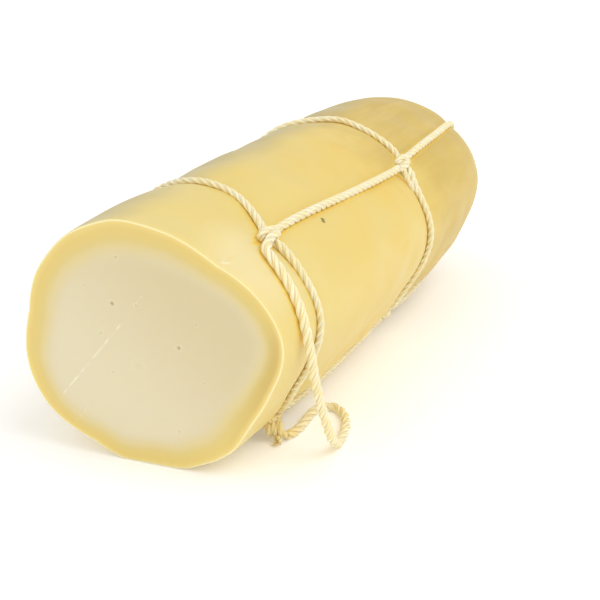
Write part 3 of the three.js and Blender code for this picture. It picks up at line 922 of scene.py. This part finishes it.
# Painted shade in the face's holes.
MARK_PIT_SHADE = shown(168, 148, 106), (-0.1, -1.0, 0.0, 0.4)
# Paler along the knife's streaks and the torn bits of rind, and a painted highlight round the face's
# holes.
MARK_PALE_AND_HIGHLIGHT = shown(248, 240, 212), (0.1, 1.0, 0.0, 0.6)
SOFT = (24.0, 3.0), (0.34, 0.66)  # mottling of the rind
FINE = (85.0, 4.0), (0.3, 0.75)
RIND_WARM = shown(228, 204, 121), (-0.150, -0.075)  # by y
SOFT_SHIFT = 0.03  # how far the mottling moves that along y
RIND_PAINTED_LIGHT = shown(236, 219, 162), (0.034, 0.008, 0.0, 0.9)  # a pool of painted light on the front of the flank, by distance
PAINTED_LIGHT_AT = (0.0430, 0.0200, 0.1010)
RIND_GOLD = shown(230, 196, 97), (-0.11, 0.0, 0.15, 1.0)  # in patches towards the rear ring, by y
GOLD_SOFT, GOLD_FINE = 0.65, 0.25
RIND_TAN = shown(203, 174, 91)  # beyond the rear ring
TAN_FADE = (-0.004, 0.040, 0.0, 0.92)  # by y
RIND_STREAK = shown(221, 192, 105)
STREAKY = (1.0, 4.0, 0.6), (0.40, 0.68)
STREAKY_SCALE = (75, 12, 75)
STREAKY_SHARE = 0.6
RIND_SIDE = shown(210, 179, 74), (0.025, 0.055, 0.0, 0.45)  # there on the right, by x
RIND_TOP_SHADE = shown(192, 176, 125), (0.060, 0.084, 0.0, 0.9)  # painted shade on the far side of the top, by ...
TOP_X, TOP_Z = -0.866, 0.5  # ... these shares of x and z
TOP_X_FADE = (-0.051, -0.034)
TOP_SHIFT = 0.004  # how far the mottling moves it
TOP_WIDER = (-0.12, -0.05, 0.0, 0.005)  # where on y it gets wider, and by how much ...
TOP_WIDER_FADE = (0.09, 0.03)  # ... and where that ends
RIND_GROOVE_SHADE = shown(248, 212, 84), (0.0003, 0.0009, 0.0, 0.75)  # painted shade beside a cord and round a hitch, by the groove's depth
SPECK = shown(98, 84, 30), (0.0015, 0.0007, 0.0, 0.8)
HITCH_SHADE = shown(206, 148, 24), (0.0024, 0.0008, 0.0, 0.75)  # painted shade on the rind beside the rear hitch
# Small spots on the rind: a dark speck and painted shade beside the rear hitch, with their places as angle
# and y.
SPOTS = [
    (SPECK, [(42.6, 0.0831), (43.6, 0.0842)]),
    (HITCH_SHADE, [
        (40.2, 0.1754), (38.7, 0.1758), (37.2, 0.1763), (35.7, 0.1769), (34.2, 0.1774), (32.7, 0.1778)]),
]
# Bumps of the wax outside and of the curd on the face.
ON_FACE_FADE = (-0.05, 0.05)  # from one to the other, by rind coordinate
SMEAR_SCALE = (900, 900, 90)
SMEAR_TURN = (0, math.radians(-39), 0)  # the way the knife went
SMEAR_NOISE = (1.0, 2.0)
GRAIN_NOISE = (1100.0, 3.0)
PORES_NOISE = (320.0, 3.0, 0.6)
WAX_PORES, WAX_GRAIN = 0.8, 0.25
CURD_SMEAR, CURD_GRAIN = 0.5, 0.5
CHEESE_BUMP = (0.16, 0.0004)  # strength and height
WAX_ROUGH = (45.0, 3.0), (0.3, 0.7, 0.4, 0.52)
FACE_ROUGH = 0.5


def rind_colour(look, place):
    """The skin of the log, mottled, deeper along its length and tan with streaks at its rounded end, with
    a pool of painted light, painted shade on the top's far side, beside the cords and by the rear hitch,
    and a dark speck.
    """
    x, y, z = look.parts(place)
    soft = look.mottled(place, *SOFT)
    length = look.plus(y, look.centred(soft, SOFT_SHIFT))
    colour = look.layer(RIND_PALE, length, *RIND_WARM)
    colour = look.layer(colour, look.away(place, PAINTED_LIGHT_AT), *RIND_PAINTED_LIGHT)
    patches = look.weighed(soft, GOLD_SOFT, look.mottled(place, *FINE), GOLD_FINE)
    colour = look.layer(colour, y, *RIND_GOLD, patches)
    streak = look.mottled(look.stretched(place, STREAKY_SCALE), *STREAKY)
    tan = look.mixed(look.times(streak, STREAKY_SHARE), RIND_TAN, RIND_STREAK)
    colour = look.layer(colour, length, look.layer(tan, x, *RIND_SIDE), TAN_FADE)
    over = look.plus(look.weighed(x, TOP_X, z, TOP_Z), look.centred(soft, TOP_SHIFT))
    wider = look.times(look.ranged(y, *TOP_WIDER), look.ranged(y, *TOP_WIDER_FADE))
    colour = look.layer(colour, look.plus(over, wider), *RIND_TOP_SHADE, look.ranged(x, *TOP_X_FADE))
    colour = look.layer(colour, look.attribute("groove"), *RIND_GROOVE_SHADE)
    for spot, places in SPOTS:
        nearest = look.away(place, skin(*places[0]))
        for at in places[1:]:
            nearest = look.maths("MINIMUM", nearest, look.away(place, skin(*at)))
        colour = look.layer(colour, nearest, *spot)
    return colour


def face_colour(look, place, rind):
    """The cut face, from its edge over the band of rind to the paste in the middle, which has painted
    light and shade across it.
    """
    x, _, z = look.parts(place)
    wander = look.centred(look.noise(place, *WANDER_NOISE), EDGE_WANDER)
    depth = look.plus(rind, look.times(wander, look.ranged(rind, *WANDER_FADE)))
    across = look.ramp(look.ranged(depth, *EDGE_SPAN, kind="LINEAR"), ACROSS_EDGE)
    band = look.times(*(look.ranged(rind, *fade) for fade in BAND_FADES))
    across = look.layer(across, x, *BAND_DEEP, look.times(band, look.ranged(z, *BAND_Z_FADE)))
    paste = look.layer(PASTE_LIT, look.plus(x, z), *PASTE_SHADED)
    cloud = look.times(look.mottled(place, *CLOUDS), CLOUD_SHARE)
    cloud = look.times(cloud, look.ranged(rind, *CLOUD_FADE))
    middle = look.maths("MAXIMUM", look.ranged(rind, *PASTE_FADE), cloud)
    return look.mixed(middle, across, paste)


def cheese_material():
    look = Look(
        "cheese", Subsurface_Weight=0.35, Subsurface_Radius=(0.009, 0.006, 0.0022), Subsurface_Scale=1.0)
    place = look.place()
    rind, mark = look.attribute("rind"), look.attribute("mark")
    colour = look.layer(rind_colour(look, place), rind, face_colour(look, place, rind), FACE_FADE)
    colour = look.layer(colour, mark, *MARK_PIT_SHADE)
    colour = look.layer(colour, mark, *MARK_PALE_AND_HIGHLIGHT)
    on_face = look.ranged(rind, *ON_FACE_FADE)
    smear = look.noise(look.stretched(place, SMEAR_SCALE, SMEAR_TURN), *SMEAR_NOISE)
    grain = look.noise(place, *GRAIN_NOISE)
    wax = look.weighed(look.noise(place, *PORES_NOISE), WAX_PORES, grain, WAX_GRAIN)
    curd = look.weighed(smear, CURD_SMEAR, grain, CURD_GRAIN)
    rough = look.blended(on_face, look.mottled(place, *WAX_ROUGH), FACE_ROUGH)
    return look.finish(colour, look.blended(on_face, wax, curd), *CHEESE_BUMP, Roughness=rough)


# ---- the pieces of cord ----
SECOND_TURN_SIZE = 0.95  # of the cord in the second turns at the rear ring
KNOT_SIZE = 0.92  # and in the knot
SLACK_FADE = 12  # steps of the rope over which it tightens again
RING_NUMBERS = (1, 2, 3, 4)
CORD_LOOK = cord_material()


def on_log(piece, slot, *nodes):
    """The piece belongs to the log's body and stands for these nodes."""
    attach(piece, "root")
    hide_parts(*nodes)
    return piece


def make_ring(place, ring, lift=0.0):
    """A ring of cord; one that is lifted has a second turn beside each hitch."""
    rough, thick = ring_path(ring, lift)
    path = resample(rough, ROPE_STEP)
    thick = np.interp(np.linspace(0, 1, len(path)), np.linspace(0, 1, len(thick)), thick)
    mesh = Mesh()
    add_rope(mesh, path, thick=thick)
    for i in range(len(cord_angle) if lift else 0):
        turns = np.array([crossing(ring, i)(*point) for point in SECOND_TURN])
        add_rope(mesh, resample(turns, ROPE_STEP), thick=SECOND_TURN_SIZE)
    piece = mesh.build(f"ring_{place}", CORD_LOOK)
    on_log(piece, "cord", *(f"{place}_ring_{k}" for k in RING_NUMBERS))


def net_nodes(*numbers):
    """The nodes of the lengthwise cords with these numbers."""
    kinds = ("side_cord", "end_cord", "front_hitch", "rear_hitch")
    return [f"{kind}_{k}" for kind in kinds for k in numbers]


make_ring("front", front_ring)
make_ring("rear", rear_ring, REAR_LIFT)

# The first cord starts as the loose one, at the knot; at split it comes to its front hitch.
halves = [lengthwise_path(i) for i in range(len(cord_angle))]
loose = loose_path()
first = resample(np.concatenate([loose[::-1], halves[0][::-1], TIP_STRAIGHT, halves[2]]), ROPE_STEP)
second = resample(np.concatenate([halves[1][::-1], TIP_HITCH, halves[3]]), ROPE_STEP)
loose_length = reach_along(resample(loose, ROPE_STEP))[-1]
split = int(np.argmin(norm(first[: len(first) // 3] - loose[0])))
slack = np.clip(1 - (np.arange(len(first)) - split) / SLACK_FADE, 0, 1)
knot_line = resample(knot_path(loose[-1]), ROPE_STEP)

on_log(
    rope_piece("lengthwise_1_3", first, CORD_LOOK, frays=[first], loose=slack, low=split),
    "cord", *net_nodes(1, 3), "tip_hitch",
)
on_log(
    rope_piece("lengthwise_2_4", second, CORD_LOOK, frays=[second[::-1], second]),
    "cord", *net_nodes(2, 4), "tip_hitch",
)
loose_cord = rope_piece("cord_loose", first, CORD_LOOK, loose=slack, high=split + 1)
on_log(loose_cord, "cord", "loose_cord")
knot = rope_piece("knot", knot_line, CORD_LOOK, frays=[knot_line], thick=KNOT_SIZE)
on_log(knot, "cord", "loose_knot")


# ---- the cheese ----
MESH_ROUNDS = 3  # of moving columns and rows until they agree
FILLET_STEPS = 6
FACE_STEP = 0.0017  # between points of the face ...
FACE_ROW = 0.87  # ... and between their rows, as a share of that
FACE_SCATTER = 0.25  # how far a point is off its place, as a share of the step
FACE_CLEAR = 0.6  # how far it keeps from a detail's points
FACE_SEED = 7
FACE_MARGIN = 0.0009  # between the face's outline and its other points
FACE_SETTLE = 0.003  # from the outline, over which its relief grows
MERGE = 1e-9  # nearer points would be merged
# As the skin's waves.
FACE_WAVES = (8, 5, (0.018, 0.06), 6)
FACE_WAVE_HEIGHT = 0.00006
# Small holes in the face: x, z, radius, depth.
PITS = [
    (-0.0162, 0.0802, 0.00110, 0.00075), (0.0142, 0.0635, 0.00095, 0.00065),
    (-0.0235, 0.0648, 0.00075, 0.00026), (-0.0119, 0.1028, 0.00070, 0.00028),
    (0.0110, 0.0207, 0.00070, 0.00026), (-0.0064, 0.0512, 0.00220, 0.00016),
    (-0.0045, 0.0811, 0.00055, 0.00030),
    (0.0248, 0.0476, 0.00050, 0.00025), (-0.0192, 0.0460, 0.00050, 0.00025),
    (0.0231, 0.0759, 0.00050, 0.00025), (-0.0286, 0.0874, 0.00050, 0.00022),
    (-0.0216, 0.0326, 0.00045, 0.00022),
]
# Points round a hole: how far out, as a share of its radius, and how many.
PIT_CIRCLES = [(0.35, 6), (0.65, 9), (0.9, 12), (1.15, 14), (1.6, 14)]
PIT_WALL = (0.25, 1.05)  # from where to where it rises, in radii
# Painted shade in a hole: from where to where it fades, in radii.
PIT_SHADE_SPAN = (0.3, 1.2)
PIT_RIM, PIT_RIM_AT, PIT_RIM_REACH = 0.12, 1.3, 0.3  # share of the depth, and place in radii
PIT_SHINE, PIT_SHINE_AT, PIT_SHINE_REACH = 0.35, 1.45, 0.35
PIT_SHADE_FULL = 0.0005  # depth from which its painted shade is as dark as can be
# Crumbs drawn out by the knife: from x, z to x, z, height.
STREAKS = [
    ((-0.0100, 0.0742), (-0.0505, 0.0250), 0.00022), ((-0.0350, 0.0250), (-0.0420, 0.0160), 0.00012),
    ((-0.0085, 0.0832), (-0.0250, 0.0640), 0.00007), ((-0.0006, 0.0864), (-0.0060, 0.0804), 0.00012),
]
STREAK_HALF = 0.0005
STREAK_LINES = (-3.2, -1.8, -0.9, 0, 0.9, 1.8, 3.2)  # of points beside a streak, in half widths
STREAK_STEP = 0.0008
STREAK_SHIFT = 0.0001  # how much later a line starts, per half width
STREAK_SEED = 20  # of the first
STREAK_WAVES = (17, 41, 73)  # along a streak, in radians
STREAK_MEAN, STREAK_SWING, STREAK_LEAST = 0.62, 0.6, 0.3
STREAK_END = 0.08  # share of its length over which it starts and ends
TROUGH, TROUGH_AT = 0.5, 2.2  # beside it: share of the height, and place in half widths
STREAK_FULL = 0.00022  # height from which it is as light as can be
# Width of the yellow rind as it shows on the face, by angle.
RIND_WIDTH = [
    (15, 0.0086), (50, 0.0089), (80, 0.0111), (110, 0.0122), (145, 0.0110), (180, 0.0098),
    (215, 0.0088), (255, 0.0092), (290, 0.0108), (325, 0.0108), (350, 0.0094),
]
rind_width = curve_through(RIND_WIDTH, 360)
# Coordinate of the rind: 0 at the face's outline, 1 at the inner side of the band.
EDGE_RIND = -0.12  # it is this where the rounded edge meets the skin ...
RIND_PER_METRE = 100  # ... falls this fast behind it ...
RIND_LEAST = -0.3  # ... and stops here
LOOSE_AT = 0.030  # y about which the loose cord lies on the skin
# Painted shadow beside the loose cord: its strength as a groove's depth, its reach, and the step along the
# cord.
LOOSE_SHADOW = 0.0011
LOOSE_SHADOW_REACH = 0.0020
LOOSE_SHADOW_STEP = 0.0010


def log_points():
    """The angle and the station of each point of the skin, rows from the cut to the tip."""
    rows = row_stations(column_angles(0.0))
    column, row = np.indices(rows.shape)
    for _ in range(MESH_ROUNDS):
        angle = column_angles(station(rows)[0])[column, row, column]
        rows = row_stations(angle)[column, row, row]
    return angle.T, rows.T


def edge_rings(first_row, angle, s):
    """The rounded edge, from the flat face out to the first row of the skin."""
    inward = -outward(angle, s)
    inward[:, 1] = 0
    inward = unit(inward)
    rings = []
    for k in range(FILLET_STEPS):
        turn = math.pi / 2 * (1 - k / FILLET_STEPS)
        ring = first_row + inward * EDGE_RADIUS * (1 - math.cos(turn))
        flat_y = face_plane(ring[:, 0], ring[:, 2])
        ring[:, 1] = flat_y + (first_row[:, 1] - flat_y) * (1 - math.sin(turn))
        rings.append(ring)
    return np.array(rings)


def distance_to_line(points, a, b):
    """Distances to the segment from a to b, and how far along it that is, from 0 to 1."""
    a, b = np.array(a), np.array(b)
    t = np.clip((points - a) @ (b - a) / ((b - a) @ (b - a)), 0, 1)
    return norm(points - a - t[..., None] * (b - a)), t


def detail_points():
    """Extra points of the face round its holes and along its streaks."""
    made = []
    for x, z, radius, _ in PITS:
        made.append([(x, z)])
        for share, count in PIT_CIRCLES:
            turn = np.linspace(0, 2 * math.pi, count, endpoint=False) + share
            out = radius * share
            made.append(np.stack([x + out * np.cos(turn), z + out * np.sin(turn)], -1))
    for a, b, _ in STREAKS:
        line = np.subtract(b, a)
        along = unit(line)
        across = np.array([-along[1], along[0]])
        for beside in STREAK_LINES:
            t = np.arange(0, norm(line), STREAK_STEP) + abs(beside) * STREAK_SHIFT
            made.append(a + t[:, None] * along + across * beside * STREAK_HALF)
    return np.concatenate([np.array(m, float) for m in made])


def grid_points(outline, kept):
    """A loose grid of points inside the outline, away from it and from the points to keep."""
    low, high = outline.min(0), outline.max(0)
    x, z = np.meshgrid(
        np.arange(low[0], high[0], FACE_STEP), np.arange(low[1], high[1], FACE_STEP * FACE_ROW))
    x = x + (np.arange(len(x)) % 2)[:, None] * FACE_STEP / 2
    points = np.stack([x.ravel(), z.ravel()], -1)
    draw = np.random.default_rng(FACE_SEED)
    points += draw.uniform(-FACE_SCATTER, FACE_SCATTER, points.shape) * FACE_STEP
    apart = norm(points[:, None] - kept[None]).min(1)
    points = points[apart > FACE_CLEAR * FACE_STEP]
    edge, inside = edge_distance(points, outline)
    return points[inside & (edge > FACE_MARGIN)]


def edge_distance(points, outline):
    """Distance from the outline, and which points are inside it."""
    away = np.full(len(points), np.inf)
    for a, b in zip(outline, np.roll(outline, -1, axis=0)):
        away = np.minimum(away, distance_to_line(points, a, b)[0])
    middle = np.array([0, AXIS_HEIGHT])
    around = outline - middle
    turns = np.arctan2(around[:, 1], around[:, 0])
    order = np.argsort(turns)
    own = np.arctan2(points[:, 1] - middle[1], points[:, 0] - middle[0])
    reach = np.interp(own, turns[order], norm(around)[order], period=2 * math.pi)
    return away, norm(points - middle) < reach


def streak_strength(t, seed):
    """A streak comes and goes along its length."""
    phases = np.random.default_rng(seed).uniform(0, 2 * math.pi, len(STREAK_WAVES))
    wave = np.sin(t[:, None] * STREAK_WAVES + phases).mean(-1)
    strength = np.clip(STREAK_MEAN + STREAK_SWING * wave, STREAK_LEAST, 1)
    return strength * smoothstep(t, 0, STREAK_END) * smoothstep(1 - t, 0, STREAK_END)


def face_relief(points):
    """How far the face lies behind its plane, and the marks for the material: paler streaks, painted shade
    in the holes and a painted highlight round them.
    """
    behind = waves(points, *FACE_WAVES) * FACE_WAVE_HEIGHT
    mark = np.zeros(len(points))
    for x, z, radius, depth in PITS:
        far = np.hypot(points[:, 0] - x, points[:, 1] - z) / radius
        rim = PIT_RIM * bell(far - PIT_RIM_AT, PIT_RIM_REACH)
        behind += depth * (1 - smoothstep(far, *PIT_WALL) - rim)
        # painted shade in the hole, darker the deeper it is
        mark -= (1 - smoothstep(far, *PIT_SHADE_SPAN)) * min(1, depth / PIT_SHADE_FULL)
        # painted highlight round the hole's rim
        mark += PIT_SHINE * bell(far - PIT_SHINE_AT, PIT_SHINE_REACH)
    for k, (a, b, height) in enumerate(STREAKS):
        away, t = distance_to_line(points, a, b)
        strength = streak_strength(t, STREAK_SEED + k)
        ridge = bell(away, STREAK_HALF)
        trough = bell(away - TROUGH_AT * STREAK_HALF, STREAK_HALF)
        behind += height * strength * (TROUGH * trough - ridge)
        mark += ridge * strength * height / STREAK_FULL
    return behind, np.clip(mark, -1, 1)


def build_face(ring):
    """Points, triangles, rind coordinate and marks of the face; the ring's points come first."""
    outline = ring[:, [0, 2]]
    kept = detail_points()
    edge, inside = edge_distance(kept, outline)
    kept = kept[inside & (edge > FACE_MARGIN)]
    flat = np.vstack([outline, kept, grid_points(outline, kept)])
    edges = [(k, (k + 1) % len(ring)) for k in range(len(ring))]
    made = delaunay_2d_cdt([Vector(p) for p in flat], edges, [], 1, MERGE)
    if len(made[0]) != len(flat):
        raise RuntimeError("points of the face were merged")
    edge, _ = edge_distance(flat, outline)
    edge[:len(ring)] = 0
    behind, mark = face_relief(flat)
    y = face_plane(flat[:, 0], flat[:, 1]) + behind * smoothstep(edge, 0, FACE_SETTLE)
    points = np.stack([flat[:, 0], y, flat[:, 1]], -1)
    points[:len(ring)] = ring
    angle = np.degrees(np.arctan2(flat[:, 1] - AXIS_HEIGHT, flat[:, 0]))
    return points, [tuple(face) for face in made[2]], edge / rind_width(angle), mark


def shadow_beside_loose(points):
    """How strongly painted shadow colours the skin beside the loose cord, given as the depth of a groove.
    """
    strength = np.zeros(points.shape[:-1])
    near = np.abs(points[..., 1] - LOOSE_AT) < LOOSE_AT
    path = resample(loose, LOOSE_SHADOW_STEP)
    away = norm(points[near][:, None] - path[None]).min(1)
    strength[near] = LOOSE_SHADOW * bell(np.maximum(away - LOOSE_LIFT, 0), LOOSE_SHADOW_REACH)
    return strength


def rind_behind(rows):
    """The rind coordinate from the face's outline back to the tip."""
    over_edge = EDGE_RIND * np.arange(1, FILLET_STEPS) / FILLET_STEPS
    first = FILLET_STEPS - 1
    back = EDGE_RIND - (rows[first:, :, 1] - rows[first, :, 1]) * RIND_PER_METRE
    on_skin = np.maximum(back, RIND_LEAST).ravel()
    return np.concatenate([np.repeat(over_edge, rows.shape[1]), on_skin, [RIND_LEAST]])


def skin_faces(base, rows, count):
    """Faces from the face's outline, which has the first points, over the rows to the tip."""

    def index(row, col):
        return col % count if row == 0 else base + (row - 1) * count + col % count

    faces = []
    for row in range(rows):
        for col in range(count):
            a, b = index(row, col), index(row, col + 1)
            faces.append((b, a, index(row + 1, col), index(row + 1, col + 1)))
    tip = base + rows * count
    return faces + [(index(rows, col + 1), index(rows, col), tip) for col in range(count)]


def build_cheese(material):
    angle, s = log_points()
    skin_rows = surface(angle, s)
    rings = edge_rings(skin_rows[0], angle[0], s[0])
    face, faces, rind, mark = build_face(rings[0])
    rows = np.concatenate([rings[1:], skin_rows])
    points = np.vstack([face, rows.reshape(-1, 3), skin_rows[-1].mean(0)])
    faces += skin_faces(len(face), *rows.shape[:2])
    torn = np.minimum(crumples(rows)[1].ravel(), 1)
    # The groove attribute: the grooves' depth and the loose cord's painted shadow, which the material
    # turns into painted shade.
    pressed = np.maximum(relief(angle, s), shadow_beside_loose(skin_rows)).ravel()
    before = np.zeros(len(points) - len(pressed) - 1)
    piece = new_piece("cheese_log", points, faces, material)
    layers = {
        "rind": [rind, rind_behind(rows)], "mark": [mark, torn, [0]], "groove": [before, pressed, [0]],
    }
    for name, values in layers.items():
        layer = piece.data.attributes.new(name, "FLOAT", "POINT")
        layer.data.foreach_set("value", np.concatenate(values))
    return piece


cheese = build_cheese(cheese_material())
on_log(cheese, "cheese", "cheese")


# ---- floor and light ----
WHITE = (1, 1, 1, 1)
FLOOR_HALF = 6.0
FLOOR_GREY = (0.93, 0.93, 0.93, 1)
FLOOR_ROUGH = 0.9
FLOOR_GLOW = 0.15
SKY = 0.78
# Large soft lights: name, direction towards it, strength, size in degrees.
SUNS = [
    ("key", (0.7, 0.0, 1.0), 0.87, 40),
    ("fill", (0.1, -1.0, 0.45), 0.49, 80),
]


def make_floor():
    mesh = bpy.data.meshes.new("floor")
    corners = [(x * FLOOR_HALF, y * FLOOR_HALF, 0) for x, y in ((-1, -1), (1, -1), (1, 1), (-1, 1))]
    mesh.from_pydata(corners, [], [(0, 1, 2, 3)])
    look = Look(
        "floor", Base_Color=FLOOR_GREY, Roughness=FLOOR_ROUGH, Emission_Color=WHITE,
        Emission_Strength=FLOOR_GLOW)
    mesh.materials.append(look.material)
    floor = placed("floor", mesh)


def make_light():
    world = bpy.data.worlds.new("world")
    world.use_nodes = True
    sky = world.node_tree.nodes["Background"]
    sky.inputs["Color"].default_value = WHITE
    sky.inputs["Strength"].default_value = SKY
    bpy.context.scene.world = world
    for name, toward, energy, size in SUNS:
        data = bpy.data.lights.new(name, "SUN")
        data.energy = energy
        data.angle = math.radians(size)
        light = placed(name, data)
        light.rotation_euler = Vector(toward).to_track_quat("Z", "Y").to_euler()
    bpy.context.scene.view_settings.view_transform = "Standard"


make_floor()
make_light()
